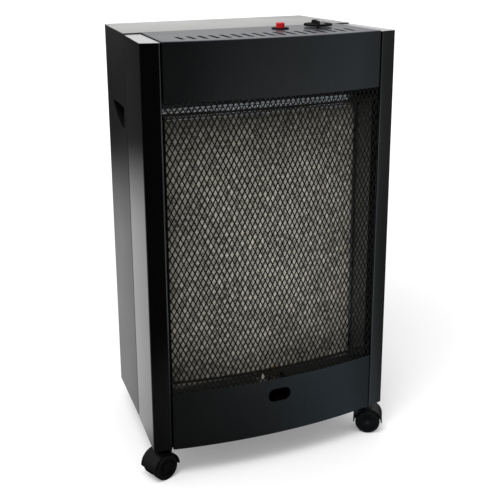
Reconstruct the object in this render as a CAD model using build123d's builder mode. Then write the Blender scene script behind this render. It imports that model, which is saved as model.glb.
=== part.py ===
from build123d import *
import math
import os

# Portable gas cabinet heater with a catalytic pad, on four twin-wheel casters.
# Millimetres. +Z is up and the front faces -Y. Left and right are as seen from the front.
# The origin lies on the floor under the middle of the whole heater.

# ---------------------------------------------------------------- overall sizes
cabinet_width = 420.0  # across the outer front edges of the two pillars
cabinet_height = 648.0  # bottom edge of the panels to the flat top
side_depth = 280.0  # pillar front edge to the rear edge of the side panels
seam_depth = 122.0  # pillar front edge to the seam behind the pillars
seam_width = 393.0  # across the pillars at that seam
rear_width = 364.0  # across the side panels at their rear edge
cover_bulge = 75.0  # how far the rear cover stands out behind
ground_gap = 57.0  # floor to the bottom edge of the panels

# ---------------------------------------------------------------- sheet metal
sheet = 1.2  # thickness of every pressed panel
bend = 2.5  # outside radius of a folded corner
panel_gap = 2.0  # open joint between a front panel and a pillar
seam_gap = 1.5  # open joint between the front module and the rear casing
fit = 0.3  # play between pieces that slide or nest
shaft_play = 0.05  # radial play of a shaft in its bore

# ---------------------------------------------------------------- front
pillar_face = 29.5  # width of a pillar's front face
pillar_lean = 7.5  # how far a pillar's inner front edge stands forward
pillar_top_rear = 26.0  # width of a pillar's top at the seam
cap_drop = 1.5  # pillar tops below the deck
pillar_lip = 9.0  # depth of the fold beside the guard
rear_lip = 16.0  # width of the folds along the seam and the rear edge
bow_rise = 18.0  # rise of the bowed front between the pillars
fascia_height = 88.0
lower_height = 98.0
hand_slot_width = 40.0  # lighting slot in the lower panel
hand_slot_height = 23.0
hand_slot_rise = 69.0  # panel bottom edge to the middle of the slot

# ---------------------------------------------------------------- guard
cell_columns = 15  # columns of diamonds; coarse cells stand for the fine expanded metal
cell_rows = 9
strand = 3.0  # width of the metal between two diamonds
guard_tuck = 10.0  # how far the guard reaches behind the fascia and the lower panel
rail_size = 3.0
rail_drop = 17.0  # guard's edge to the rail behind it
rivet_rises = (350.0, 464.0)  # panel bottom edge to the rivets
rivet_radius = 1.6
rivet_edge = 3.1  # rear edge of the pillar's fold to the rivets

# ---------------------------------------------------------------- deck and controls
slot_count = 17
slot_pitch = 17.6
slot_width = 6.5
slot_margin = 22.0  # bowed edge to the front ends of the slots
slot_rear = 42.0  # pillar front edge to the rear ends of the slots
controls_depth = 81.0  # pillar front edge to the button and the knob
button_offset = 48.0  # heater's middle to the igniter button
knob_offset = 115.0  # heater's middle to the knob
button_radius = 6.8
button_proud = 8.0  # button above its collar
button_travel = 6.0
collar_radius = 14.0
collar_height = 2.0
igniter_radius = 9.0
igniter_length = 42.0
knob_radius = 23.0
knob_skirt = 3.0
knob_grip_width = 10.0
knob_grip_length = 32.0
knob_grip_height = 5.0
knob_travel = 2.0
pointer_width = 8.0  # pale strip let into the knob's grip
pointer_length = 14.0
pointer_depth = 1.6

# ---------------------------------------------------------------- burner
pad_width = 336.0
pad_thickness = 16.0
pad_depth = 45.0  # pillar front edge to the pad's face
pad_low = 76.0  # panel bottom edge to the pad's lower edge
pad_high = 538.0  # panel bottom edge to the pad's upper edge
tray_depth = 30.0
tray_flange = 4.5
frame_top = 5.5  # height of the bright strip along the pad's upper edge
frame_side = 4.0
wire_radius = 0.8  # wires along the top of the pad
wire_rises = (4.5, 1.0, -4.0, -8.0)  # lower edge of the bright strip to the wires
recess_inset = 3.5  # pillar's inner edge to the sheets above and below the cheeks
cheek_inset = 6.5  # pillar's inner edge to a cheek's front edge
cheek_flange = 16.0
deflector_flange = 8.0
bracket_inset = 8.5  # tray's side to the middle of a bracket
bracket_width = 16.0
bracket_height = 30.0
bracket_low = 50.0  # tray's lower edge to the lower brackets
bracket_high = 80.0  # tray's upper edge to the upper brackets
bulkhead_depth = 88.0  # pillar front edge to the lower part of the bulkhead
bulkhead_foot = 12.0
shelf_rise = 560.0  # panel bottom edge to the step of the bulkhead above the bottle
feed_offset = 60.0  # heater's middle to the injector
feed_rise = 400.0  # panel bottom edge to the injector
port_drop = 48.0  # cabinet's top to the gas inlet
vent_length = 30.0  # air slots in the bulkhead and the floor
vent_width = 6.0
vent_pitch = 44.0  # from slot to slot along their length
vent_step = 18.0  # from slot to slot across
vent_rise = 70.0  # floor to the lower rows of the bulkhead's air slots
vent_setback = 40.0  # seam to the middle of the floor's air slots

# ---------------------------------------------------------------- pilot
pilot_offset = 8.0  # heater's middle to the pilot bracket
pilot_reach = 17.0  # pad's face to the pilot burner
pilot_height = 30.0
pilot_radius = 3.5
pilot_nut = 5.0
pilot_nut_height = 6.0
pilot_cap_width = 15.0
pilot_cap_depth = 9.0
pilot_cap_shift = 3.0
pilot_shift = 10.0  # bracket's middle to the pilot burner
thermo_shift = 2.0  # bracket's middle to the thermocouple
spark_shift = 14.0  # bracket's middle to the spark electrode
pilot_opening = 54.0  # width of the opening round the pilot in the recess floor
pilot_clear = 11.0  # pilot to the rear edge of that opening
plate_rise = 60.0  # panel bottom edge to the plate under the pilot
plate_front = 8.0  # pilot to the plate's front edge
plate_half = 25.0
pilot_run = 30.0  # plate to the level run of the pilot pipe
thermo_run = 39.0
lead_run = 47.0
pilot_port = 11.0  # knob's axis to the pilot pipe
thermo_port = 18.0  # knob's axis to the thermocouple
ceramic_drop = 6.0  # plate to the lower end of the electrode's insulator
spark_radius = 0.8

# ---------------------------------------------------------------- handles
handle_front = 18.0  # seam to the handle's upright edge
handle_length = 92.0
handle_drop = 34.0
handle_sag = 9.0
handle_rise = 531.0  # panel bottom edge to the grip edge
handle_reach = 24.0  # depth of the cup
cup_wall = 2.0
cup_lip = 8.0

# ---------------------------------------------------------------- rear cover and base
floor_rise = 8.0  # panel bottom edge to the underside of the floor
tongue_clear = 9.0  # bulge's back to the floor's tongue, at each side
tongue_taper = 10.0
cover_rim = 17.0  # side panels' rear edge to the start of the bulge
cover_taper = 18.0  # how much the bulge narrows to its back, at each side
cover_corner = 26.0
cover_head = 20.0  # cabinet's top to the top of the bulge where it starts
cover_head_back = 42.0  # cabinet's top to the top of the bulge at its back
cover_soft = 9.0  # rounding of the bulge's back edges
tab_rises = (70.0, 560.0)  # panel bottom edge to the cover's locating tabs
tab_height = 14.0
tab_reach = 11.0
top_flange = 14.0  # rim under the top cover
screw_rises = (110.0, 330.0, 605.0)  # panel bottom edge to the seam's screws
screw_radius = 2.0
screw_tail = 7.0
louvre_length = 54.0
louvre_width = 6.0
louvre_pitch = 70.0
louvre_step = 16.0
louvre_low = 110.0  # panel bottom edge to the middle of the lower louvres
louvre_high = 150.0  # cabinet's top to the middle of the upper louvres

# ---------------------------------------------------------------- casters
stem_front_edge = 29.0  # pillar's outer front edge to the front swivel axes, across
stem_front_depth = 22.0  # pillar front edge to the front swivel axes
stem_rear_edge = 26.0  # side panel's rear edge to the rear swivel axes, across
stem_rear_setback = 28.0  # side panel's rear edge to the rear swivel axes
stem_radius = 4.0
stem_length = 13.0
stem_flange_radius = 10.0
stem_flange = 2.0
stud_length = 13.0
nut_width = 13.0
nut_height = 6.5
wheel_radius = 21.5
wheel_width = 14.5
wheel_gap = 0.5  # web to a wheel's inner face
web = 7.0  # thickness of the caster's middle web
trail = 14.0  # swivel axis to axle
axle_radius = 3.0
fender = 2.4
fender_gap = 1.5
boss_radius = 8.0
front_left_turn = 199.0  # way each wheel trails, in degrees from +X
front_right_turn = 328.7
rear_turn = 12.0  # the rear wheels trail inwards, by this much off the X axis

# ---------------------------------------------------------------- derived places
total_depth = bow_rise + pillar_lean + side_depth + cover_bulge
bow_y = -total_depth / 2
inner_y = bow_y + bow_rise
pillar_y = inner_y + pillar_lean
seam_y = pillar_y + seam_depth
casing_y = seam_y + seam_gap
rear_y = pillar_y + side_depth
back_y = rear_y + cover_bulge
base_z = ground_gap
top_z = base_z + cabinet_height
floor_z = base_z + floor_rise
floor_top = floor_z + sheet
roof_z = top_z - sheet
fascia_z = top_z - fascia_height
lower_z = base_z + lower_height
half_width = cabinet_width / 2
half_seam = seam_width / 2
half_rear = rear_width / 2
inner_x = half_width - pillar_face
panel_half = inner_x - panel_gap
recess_half = inner_x - recess_inset
cheek_front_half = inner_x - cheek_inset
lip_y = inner_y + pillar_lip
bow_radius = (inner_x**2 + bow_rise**2) / (2 * bow_rise)
bow_centre = bow_y + bow_radius
casing_half = half_seam - fit
controls_y = pillar_y + controls_depth
pad_y = pillar_y + pad_depth
pad_half = pad_width / 2
pad_bottom = base_z + pad_low
pad_top = base_z + pad_high
tray_half = pad_half + fit + sheet
tray_bottom = pad_bottom - fit - sheet
tray_top = pad_top + fit + sheet
tray_back = pad_y + tray_depth
feed_z = base_z + feed_rise
bulkhead_y = pillar_y + bulkhead_depth
shelf_z = base_z + shelf_rise
cover_half = half_rear - cover_rim
cover_half_back = cover_half - cover_taper
tongue_half = cover_half_back - tongue_clear
stem_front_x = half_width - stem_front_edge
stem_rear_x = half_rear - stem_rear_edge
parts = {}


def keep(name, piece):
    # Label a finished piece and put it on the list.
    piece.part.label = name
    parts[name] = piece.part


def keep_pair(name, piece):
    # The piece is the right-hand one; the left-hand one is its mirror image.
    keep("right_" + name, piece)
    with BuildPart() as other:
        mirror(piece.part, about=Plane.YZ)
    keep("left_" + name, other)


def bow(x, inset=0.0):
    # Place of the bowed front at x, set in by inset.
    return bow_centre - math.sqrt((bow_radius - inset) ** 2 - x**2)


def bow_arc(half, inset=0.0):
    return ThreePointArc((-half, bow(half, inset)), (0, bow(0, inset)), (half, bow(half, inset)))


def bow_outline(half, inset, straight_y):
    # Plan between the bow and a straight line behind it.
    with BuildLine() as outline:
        front = bow_arc(half, inset)
        Polyline(front @ 1, (half, straight_y), (-half, straight_y), front @ 0)
    make_face(outline.edges())


def bow_band(half, inset, thickness):
    # Plan of a strip that follows the bow.
    with BuildLine() as outline:
        front = bow_arc(half, inset)
        back = bow_arc(half, inset + thickness)
        Line(front @ 0, back @ 0)
        Line(front @ 1, back @ 1)
    make_face(outline.edges())


def folded(points, side=Side.LEFT, radius=bend, thickness=sheet):
    # Section of a folded sheet; the points give one face of it.
    with BuildLine() as section:
        face = FilletPolyline(*points, radius=radius)
        offset(face, amount=thickness, side=side)
    make_face(section.edges())


# ================================================================ base tray
# One pressed pan turned over, with a tongue behind that carries the back of the bottle.
wall_play = sheet + fit
pillar_slope = (half_width - half_seam) / seam_depth
tray_corner = half_width - pillar_slope * pillar_lip - wall_play
casters = {
    "front_left": (-stem_front_x, pillar_y + stem_front_depth, front_left_turn),
    "front_right": (stem_front_x, pillar_y + stem_front_depth, front_right_turn),
    "rear_left": (-stem_rear_x, rear_y - stem_rear_setback, -rear_turn),
    "rear_right": (stem_rear_x, rear_y - stem_rear_setback, 180 + rear_turn),
}
stem_places = [(x, y) for x, y, turn in casters.values()]


def tray_outline():
    right_edge = [
        (tray_corner - bend, lip_y),
        (tray_corner, lip_y + bend),
        (half_seam - wall_play, seam_y),
        (casing_half - wall_play, casing_y),
        (half_rear - wall_play, rear_y),
        (tongue_half, rear_y),
        (tongue_half - tongue_taper, back_y - 2 * wall_play),
    ]
    Polygon(*right_edge, *[(-x, y) for x, y in reversed(right_edge)], align=None)


with BuildPart() as base_tray:
    with BuildSketch(Plane.XY.offset(base_z)):
        tray_outline()
    extrude(amount=floor_top - base_z)
    offset(amount=-sheet, openings=faces().sort_by(Axis.Z)[0], kind=Kind.INTERSECTION)
    with BuildSketch(Plane.XY.offset(floor_z)):
        with Locations(*stem_places):
            Circle(stem_radius)
        with Locations((0, seam_y + vent_setback)):
            with GridLocations(vent_pitch, vent_step, 4, 2):
                SlotOverall(vent_length, vent_width)
    extrude(amount=sheet, mode=Mode.SUBTRACT)
keep("base_tray", base_tray)

# ================================================================ casing
screw_x = half_seam - rear_lip * 0.6
screw_heights = [base_z + rise for rise in screw_rises]


def clear_of_tray():
    # The folds of the casing stop above the tray, and its outer walls reach past it.
    with BuildSketch(Plane.XY.offset(base_z)) as pan:
        tray_outline()
    extrude(pan.sketch, amount=floor_top - base_z, mode=Mode.SUBTRACT)


def screw_holes():
    with BuildSketch(Plane.XZ.offset(-casing_y - 2 * sheet)) as holes:
        with Locations(*[(side * screw_x, z) for side in (-1, 1) for z in screw_heights]):
            Circle(screw_radius)
    extrude(holes.sketch, amount=seam_gap + 6 * sheet, mode=Mode.SUBTRACT)


def rivet_holes():
    with BuildSketch(Plane.YZ) as holes:
        with Locations(*[(lip_y - rivet_edge, base_z + rise) for rise in rivet_rises]):
            Circle(rivet_radius)
    extrude(holes.sketch, amount=inner_x + 2 * sheet, both=True, mode=Mode.SUBTRACT)


with BuildPart() as pillar:
    with BuildSketch(Plane.XY.offset(base_z)):
        folded(
            [
                (inner_x, lip_y),
                (inner_x, inner_y),
                (half_width, pillar_y),
                (half_seam, seam_y),
                (half_seam - rear_lip, seam_y),
            ]
        )
    extrude(amount=roof_z - cap_drop - base_z)
    clear_of_tray()
    with BuildSketch(Plane.XY.offset(roof_z - cap_drop)):
        Polygon(
            (inner_x, inner_y),
            (half_width, pillar_y),
            (half_seam, seam_y),
            (half_seam - pillar_top_rear, seam_y),
            align=None,
        )
        fillet(vertices().sort_by(Axis.X)[-2:], radius=bend)
    extrude(amount=sheet)
    screw_holes()
    rivet_holes()
keep_pair("pillar", pillar)

panel_start = Vector(casing_half, casing_y)
panel_end = Vector(half_rear, rear_y)
panel_way = (panel_end - panel_start).normalized()
side_plane = Plane(origin=panel_start, x_dir=panel_way, z_dir=Vector(panel_way.Y, -panel_way.X))
handle_z = base_z + handle_rise
tab_x = half_rear - rear_lip * 0.6


def handle_outline():
    # Straight grip edge above, an upright front edge and a bowed lower edge.
    rear = handle_front + handle_length
    low = handle_z - handle_drop
    with BuildLine() as outline:
        Polyline((rear, handle_z), (handle_front, handle_z), (handle_front, low))
        ThreePointArc(
            (handle_front, low),
            ((handle_front + rear) / 2, (handle_z + low) / 2 - handle_sag),
            (rear, handle_z),
        )
    make_face(outline.edges())
    fillet(vertices(), radius=4)


with BuildPart() as side_panel:
    with BuildSketch(Plane.XY.offset(base_z)):
        folded(
            [
                (casing_half - rear_lip, casing_y),
                (casing_half, casing_y),
                (half_rear, rear_y),
                (half_rear - rear_lip, rear_y),
            ]
        )
    extrude(amount=roof_z - base_z)
    clear_of_tray()
    with BuildSketch(side_plane):
        handle_outline()
    extrude(amount=2 * sheet, both=True, mode=Mode.SUBTRACT)
    with BuildSketch(Plane.XZ.offset(-rear_y)):
        with Locations(*[(tab_x, base_z + rise) for rise in tab_rises]):
            Rectangle(sheet + 4 * fit, tab_height + 4 * fit)
    extrude(amount=2 * sheet, both=True, mode=Mode.SUBTRACT)
    screw_holes()
keep_pair("side_panel", side_panel)

with BuildPart() as handle_cup:
    with BuildSketch(side_plane.offset(-sheet)):
        handle_outline()
        offset(amount=cup_lip)
    extrude(amount=-cup_wall)
    with BuildSketch(side_plane.offset(-sheet)):
        handle_outline()
        offset(amount=cup_wall)
    extrude(amount=-handle_reach)
    with BuildSketch(side_plane.offset(-sheet)):
        handle_outline()
    extrude(amount=cup_wall - handle_reach, mode=Mode.SUBTRACT)
keep_pair("handle_cup", handle_cup)


def casing_outline():
    Polygon(
        (casing_half, casing_y),
        (half_rear, rear_y),
        (-half_rear, rear_y),
        (-casing_half, casing_y),
        align=None,
    )


with BuildPart() as top_cover:
    with BuildSketch(Plane.XY.offset(roof_z)):
        casing_outline()
    extrude(amount=sheet)
    fillet(edges().group_by(Axis.Z)[-1], radius=sheet * 0.7)
    with BuildSketch(Plane.XY.offset(roof_z)):
        casing_outline()
        offset(amount=-wall_play, kind=Kind.INTERSECTION, mode=Mode.REPLACE)
        fillet(vertices(), radius=bend)
        offset(amount=-sheet, mode=Mode.SUBTRACT)
    extrude(amount=-top_flange)
keep("top_cover", top_cover)

with BuildPart() as seam_screws:
    for z in screw_heights:
        for side in (-1, 1):
            with BuildSketch(Plane.XZ.offset(-casing_y - sheet)):
                with Locations((side * screw_x, z)):
                    Circle(screw_radius)
            extrude(amount=seam_gap + 2 * sheet + screw_tail)
            with BuildSketch(Plane.XZ.offset(-casing_y - sheet)):
                with Locations((side * screw_x, z)):
                    RegularPolygon(screw_radius * 2, 6)
            extrude(amount=-screw_radius)
keep("seam_screws", seam_screws)

# ================================================================ bulkhead
# Stands in front of the bottle, steps back over its shoulder and rises to the deck.
port_z = roof_z - port_drop
pipe_radius = 3.5

with BuildPart() as bulkhead:
    with BuildSketch(Plane.YZ):
        folded(
            [
                (bulkhead_y - bulkhead_foot, floor_top + sheet),
                (bulkhead_y, floor_top + sheet),
                (bulkhead_y, shelf_z),
                (seam_y - 2 * sheet, shelf_z),
                (seam_y - 2 * sheet, roof_z),
            ],
            side=Side.RIGHT,
        )
    extrude(amount=half_seam - sheet - bend, both=True)
    with BuildSketch(Plane.XY.offset(roof_z - cap_drop)):
        with Locations((-half_seam, seam_y), (half_seam, seam_y)):
            Rectangle(2 * pillar_top_rear + panel_gap, 8 * sheet)
    extrude(amount=cap_drop, mode=Mode.SUBTRACT)
    with BuildSketch(Plane.XZ.offset(-seam_y)):
        with Locations((knob_offset, port_z)):
            Circle(pipe_radius)
        with Locations((0, floor_top + vent_rise)):
            with GridLocations(vent_pitch, vent_step, 7, 2):
                SlotOverall(vent_length, vent_width)
    extrude(amount=seam_depth, mode=Mode.SUBTRACT)
    screw_holes()
keep("bulkhead", bulkhead)

# ================================================================ bowed front
with BuildPart() as top_fascia:
    with BuildSketch(Plane.XY.offset(fascia_z)):
        bow_outline(panel_half, 0, lip_y)
    extrude(amount=roof_z - fascia_z)
    open_sides = [faces().sort_by(Axis.Z)[0], faces().sort_by(Axis.Y)[-1]]
    offset(amount=-sheet, openings=open_sides, kind=Kind.INTERSECTION)
keep("top_fascia", top_fascia)

with BuildPart() as lower_panel:
    with BuildSketch(Plane.XY.offset(base_z)):
        bow_outline(panel_half, 0, lip_y)
    extrude(amount=lower_height)
    open_sides = [faces().sort_by(Axis.Z)[-1], faces().sort_by(Axis.Y)[-1]]
    offset(amount=-sheet, openings=open_sides, kind=Kind.INTERSECTION)
    with BuildSketch(Plane.XZ.offset(-lip_y)):
        with Locations((0, base_z + hand_slot_rise)):
            SlotOverall(hand_slot_width, hand_slot_height)
    extrude(amount=pillar_lip + 2 * bow_rise, mode=Mode.SUBTRACT)
keep("lower_panel", lower_panel)

with BuildPart() as control_deck:
    with BuildSketch(Plane.XY.offset(roof_z)):
        rear_half = half_seam - pillar_top_rear - panel_gap
        with BuildLine():
            front = bow_arc(panel_half)
            Polyline(front @ 1, (rear_half, seam_y), (-rear_half, seam_y), front @ 0)
        make_face()
    extrude(amount=sheet)
    fillet(edges().group_by(Axis.Z)[-1].sort_by(Axis.Y)[0], radius=sheet * 0.7)
    with BuildSketch(Plane.XY.offset(roof_z)):
        for index in range(slot_count):
            x = (index - (slot_count - 1) / 2) * slot_pitch
            front_y = bow(x) + slot_margin
            rear_end = pillar_y + slot_rear
            with Locations((x, (front_y + rear_end) / 2)):
                SlotOverall(rear_end - front_y, slot_width, rotation=90)
        with Locations((button_offset, controls_y)):
            Circle(igniter_radius)
        with Locations((knob_offset, controls_y)):
            Circle(stem_radius + 3 * fit)
    extrude(amount=sheet, mode=Mode.SUBTRACT)
keep("control_deck", control_deck)

# ================================================================ guard
# Expanded metal bends only at its knuckles, so the sheet is flat across each half cell.
guard_inset = sheet + fit
cell_width = 2 * inner_x / cell_columns
guard_height = fascia_z - lower_z
cell_height = guard_height / cell_rows
tuck_half = panel_half - sheet - 2 * fit


def knuckle_line(half, inset):
    count = 2 * cell_columns
    xs = [-inner_x + index * cell_width / 2 for index in range(count + 1)]
    inside = [x for x in xs if abs(x) < half - cell_width / 8]
    return [(x, bow(x, inset)) for x in [-half, *inside, half]]


def guard_plan(half):
    front = knuckle_line(half, guard_inset)
    back = [(x, y + sheet) for x, y in front]
    Polygon(*front, *reversed(back), align=None)


with BuildPart() as mesh_guard:
    with BuildSketch(Plane.XY.offset(lower_z)):
        guard_plan(inner_x)
        for side in (-1, 1):
            edge_y = bow(inner_x, guard_inset)
            with Locations((side * (inner_x - sheet / 2), (edge_y + lip_y) / 2)):
                Rectangle(sheet, lip_y - edge_y)
    extrude(amount=guard_height)
    with BuildSketch(Plane.XY.offset(lower_z - guard_tuck)):
        guard_plan(tuck_half)
    extrude(amount=guard_height + 2 * guard_tuck)
    with BuildSketch(Plane.XZ.offset(-lip_y)):
        wide = cell_width / 2 - strand / 2
        tall = wide * cell_height / cell_width
        diamond = [(wide, 0), (0, tall), (-wide, 0), (0, -tall)]
        with Locations((0, lower_z + guard_height / 2)):
            with GridLocations(cell_width, cell_height, cell_columns - 1, cell_rows):
                Polygon(*diamond)
            with GridLocations(cell_width, cell_height, cell_columns - 2, cell_rows - 1):
                Polygon(*diamond)
    extrude(amount=pillar_lip + 2 * bow_rise, mode=Mode.SUBTRACT)
    rivet_holes()
keep("mesh_guard", mesh_guard)

with BuildPart() as guard_rails:
    for z in (lower_z + rail_drop, fascia_z - rail_drop):
        with BuildSketch(Plane.XY.offset(z - rail_size / 2)):
            bow_band(inner_x - sheet - fit, guard_inset + sheet + fit, rail_size)
        extrude(amount=rail_size)
keep("guard_rails", guard_rails)

with BuildPart() as guard_rivets:
    for side in (-1, 1):
        for rise in rivet_rises:
            head = inner_x - sheet
            with BuildSketch(Plane.YZ.offset(side * head)):
                with Locations((lip_y - rivet_edge, base_z + rise)):
                    Circle(rivet_radius)
            extrude(amount=side * 2 * sheet)
            for start, way in ((head, -1), (inner_x + sheet, 1)):
                with BuildSketch(Plane.YZ.offset(side * start)):
                    with Locations((lip_y - rivet_edge, base_z + rise)):
                        Circle(rivet_radius * 1.8)
                extrude(amount=side * way * rivet_radius * 0.7, taper=20)
keep("guard_rivets", guard_rivets)

# ================================================================ burner
nozzle_radius = 3.0

with BuildPart() as burner_tray:
    tray_middle = (tray_bottom + tray_top) / 2
    with BuildSketch(Plane.XZ.offset(-pad_y)):
        with Locations((0, tray_middle)):
            Rectangle(2 * tray_half, tray_top - tray_bottom)
    extrude(amount=-tray_depth)
    fillet(edges().filter_by(Axis.Y), radius=bend)
    offset(amount=-sheet, openings=faces().sort_by(Axis.Y)[0])
    with BuildSketch(Plane.XZ.offset(-pad_y)):
        with Locations((0, tray_middle)):
            Rectangle(2 * (tray_half + tray_flange), tray_top - tray_bottom + 2 * tray_flange)
            RectangleRounded(
                2 * (tray_half - sheet),
                tray_top - tray_bottom - 2 * sheet,
                bend - sheet,
                mode=Mode.SUBTRACT,
            )
    extrude(amount=-sheet)
    with BuildSketch(Plane.XZ.offset(-tray_back)):
        with Locations((feed_offset, feed_z)):
            Circle(nozzle_radius)
    extrude(amount=2 * sheet, mode=Mode.SUBTRACT)
keep("burner_tray", burner_tray)

with BuildPart() as heat_pad:
    with BuildSketch(Plane.XZ.offset(-pad_y)):
        with Locations((0, (pad_bottom + pad_top) / 2)):
            RectangleRounded(pad_width, pad_top - pad_bottom, bend)
    extrude(amount=-pad_thickness)
keep("heat_pad", heat_pad)

with BuildPart() as pad_frame:
    window_bottom = pad_bottom + frame_side
    window_top = pad_top - frame_top
    with BuildSketch(Plane.XZ.offset(-pad_y)):
        with Locations((0, (pad_bottom + pad_top) / 2)):
            Rectangle(pad_width, pad_top - pad_bottom)
        with Locations((0, (window_bottom + window_top) / 2)):
            Rectangle(pad_width - 2 * frame_side, window_top - window_bottom, mode=Mode.SUBTRACT)
    extrude(amount=sheet)
    with BuildSketch(Plane.YZ.offset(-pad_half)):
        for rise in wire_rises:
            with Locations((pad_y - sheet, window_top + rise)):
                Circle(wire_radius)
    extrude(amount=pad_width)
keep("pad_frame", pad_frame)

with BuildPart() as cheek:
    with BuildSketch(Plane.XY.offset(tray_bottom)):
        folded(
            [
                (pad_half + fit, pad_y - fit),
                (cheek_front_half, lip_y),
                (cheek_front_half + cheek_flange, lip_y),
            ]
        )
    extrude(amount=pad_top - tray_bottom)
keep_pair("reflector_cheek", cheek)

with BuildPart() as heat_deflector:
    with BuildSketch(Plane.YZ):
        folded(
            [
                (pad_y, tray_top + deflector_flange),
                (pad_y, tray_top + sheet),
                (lip_y + 2 * sheet, fascia_z - sheet),
            ],
            side=Side.RIGHT,
        )
    extrude(amount=recess_half, both=True)
keep("heat_deflector", heat_deflector)

pilot_y = pad_y - pilot_reach
with BuildPart() as recess_floor:
    with BuildSketch(Plane.XY.offset(tray_bottom - sheet)):
        bow_outline(recess_half, guard_inset + sheet + rail_size + 3 * fit, pad_y)
        with Locations((pilot_offset, (bow_y + pilot_y + pilot_clear) / 2)):
            Rectangle(pilot_opening, pilot_y + pilot_clear - bow_y, mode=Mode.SUBTRACT)
    extrude(amount=sheet)
keep("recess_floor", recess_floor)

bracket_x = tray_half - bracket_inset
with BuildPart() as burner_brackets:
    for z in (tray_bottom + bracket_low, tray_top - bracket_high):
        for x in (-bracket_x, bracket_x):
            left, right = x - bracket_width / 2, x + bracket_width / 2
            with BuildSketch(Plane.XY.offset(z)):
                front, back = tray_back, bulkhead_y
                folded([(left, front), (left, back), (right, back), (right, front)], Side.RIGHT)
            extrude(amount=bracket_height)
keep("burner_brackets", burner_brackets)

# ================================================================ gas valve and knob
strap_drop = 22.0  # deck to the top of the strap that carries the valve
strap_half = 30.0
strap_foot = 14.0
valve_width = 44.0
valve_depth = 26.0
valve_height = 50.0
spindle_depth = 14.0  # spindle inside the valve
rod_radius = 2.5
rod_length = 16.0
strap_z = roof_z - strap_drop
valve_top = strap_z - sheet
valve_bottom = valve_top - valve_height
valve_back = controls_y + valve_depth / 2
knob_z = top_z + knob_travel + 2 * fit
grip_z = knob_z + knob_skirt

with BuildPart() as valve_strap:
    with BuildSketch(Plane.XZ.offset(-controls_y)):
        left, right = knob_offset - strap_half, knob_offset + strap_half
        folded(
            [
                (left - strap_foot, roof_z),
                (left, roof_z),
                (left, strap_z),
                (right, strap_z),
                (right, roof_z),
                (right + strap_foot, roof_z),
            ],
            side=Side.RIGHT,
        )
    extrude(amount=valve_depth / 2, both=True)
    with BuildSketch(Plane.XY.offset(valve_top)):
        with Locations((knob_offset, controls_y)):
            Circle(stem_radius + 3 * fit)
    extrude(amount=sheet, mode=Mode.SUBTRACT)
keep("valve_strap", valve_strap)

with BuildPart() as gas_valve:
    with BuildSketch(Plane.XY.offset(valve_bottom)):
        with Locations((knob_offset, controls_y)):
            Rectangle(valve_width, valve_depth)
            chamfer(vertices(), length=4)
    extrude(amount=valve_height)
    chamfer(edges().group_by(Axis.Z)[0], length=2)
    for radius, depth in ((stem_radius, spindle_depth + knob_travel + 1), (rod_radius, 35)):
        with BuildSketch(Plane.XY.offset(valve_top)):
            with Locations((knob_offset, controls_y)):
                Circle(radius + shaft_play)
        extrude(amount=-depth, mode=Mode.SUBTRACT)
keep("gas_valve", gas_valve)

with BuildPart() as valve_rod:
    with BuildSketch(Plane.XY.offset(valve_top - spindle_depth - fit)):
        with Locations((knob_offset, controls_y)):
            Circle(rod_radius)
    extrude(amount=-rod_length)
    chamfer(edges().group_by(Axis.Z)[0], length=0.5)
keep("valve_rod", valve_rod)

with BuildPart() as valve_spindle:
    with BuildSketch(Plane.XY.offset(valve_top - spindle_depth)):
        with Locations((knob_offset, controls_y)):
            Circle(stem_radius)
    extrude(amount=grip_z + knob_grip_height / 2 - valve_top + spindle_depth)
keep("valve_spindle", valve_spindle)

with BuildPart() as control_knob:
    with BuildSketch(Plane.XY.offset(knob_z)):
        with Locations((knob_offset, controls_y)):
            Circle(knob_radius)
    extrude(amount=knob_skirt, taper=8)
    with BuildSketch(Plane.XY.offset(grip_z)):
        with Locations((knob_offset, controls_y)):
            RectangleRounded(knob_grip_width, knob_grip_length, knob_grip_width * 0.3)
    extrude(amount=knob_grip_height, taper=4)
    fillet(edges().group_by(Axis.Z)[-1], radius=1.5)
    with BuildSketch(Plane.XY.offset(knob_z)):
        with Locations((knob_offset, controls_y)):
            Circle(stem_radius)
    extrude(amount=knob_skirt + knob_grip_height / 2, mode=Mode.SUBTRACT)

with BuildPart() as pointer_seat:
    # Down the grip's front end and along the front of its top.
    grip_front = controls_y - knob_grip_length / 2
    with BuildSketch(Plane.YZ.offset(knob_offset)):
        Polygon(
            (grip_front - 1, grip_z),
            (grip_front + pointer_depth, grip_z),
            (grip_front + pointer_depth, grip_z + knob_grip_height - pointer_depth),
            (grip_front + pointer_length, grip_z + knob_grip_height - pointer_depth),
            (grip_front + pointer_length, grip_z + knob_grip_height + 1),
            (grip_front - 1, grip_z + knob_grip_height + 1),
            align=None,
        )
    extrude(amount=pointer_width / 2, both=True)

with BuildPart() as knob_pointer:
    add(control_knob.part)
    add(pointer_seat.part, mode=Mode.INTERSECT)
keep("knob_pointer", knob_pointer)

with control_knob:
    add(pointer_seat.part, mode=Mode.SUBTRACT)
keep("control_knob", control_knob)

# ================================================================ igniter
button_sunk = 3.5  # button below the deck's top when it is up
button_stem = 2.5
button_stem_length = 20.0
button_bottom = top_z - button_sunk
igniter_bottom = top_z - igniter_length

with BuildPart() as igniter:
    with BuildSketch(Plane.XY.offset(igniter_bottom)):
        with Locations((button_offset, controls_y)):
            Circle(igniter_radius)
    extrude(amount=igniter_length)
    chamfer(edges().group_by(Axis.Z)[0], length=1.5)
    stem_hole = button_sunk + button_stem_length + button_travel + 2
    bores = (
        (button_radius + fit, button_sunk + button_travel + 1),
        (button_stem + shaft_play, stem_hole),
    )
    for radius, depth in bores:
        with BuildSketch(Plane.XY.offset(top_z)):
            with Locations((button_offset, controls_y)):
                Circle(radius)
        extrude(amount=-depth, mode=Mode.SUBTRACT)
keep("igniter", igniter)

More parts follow.
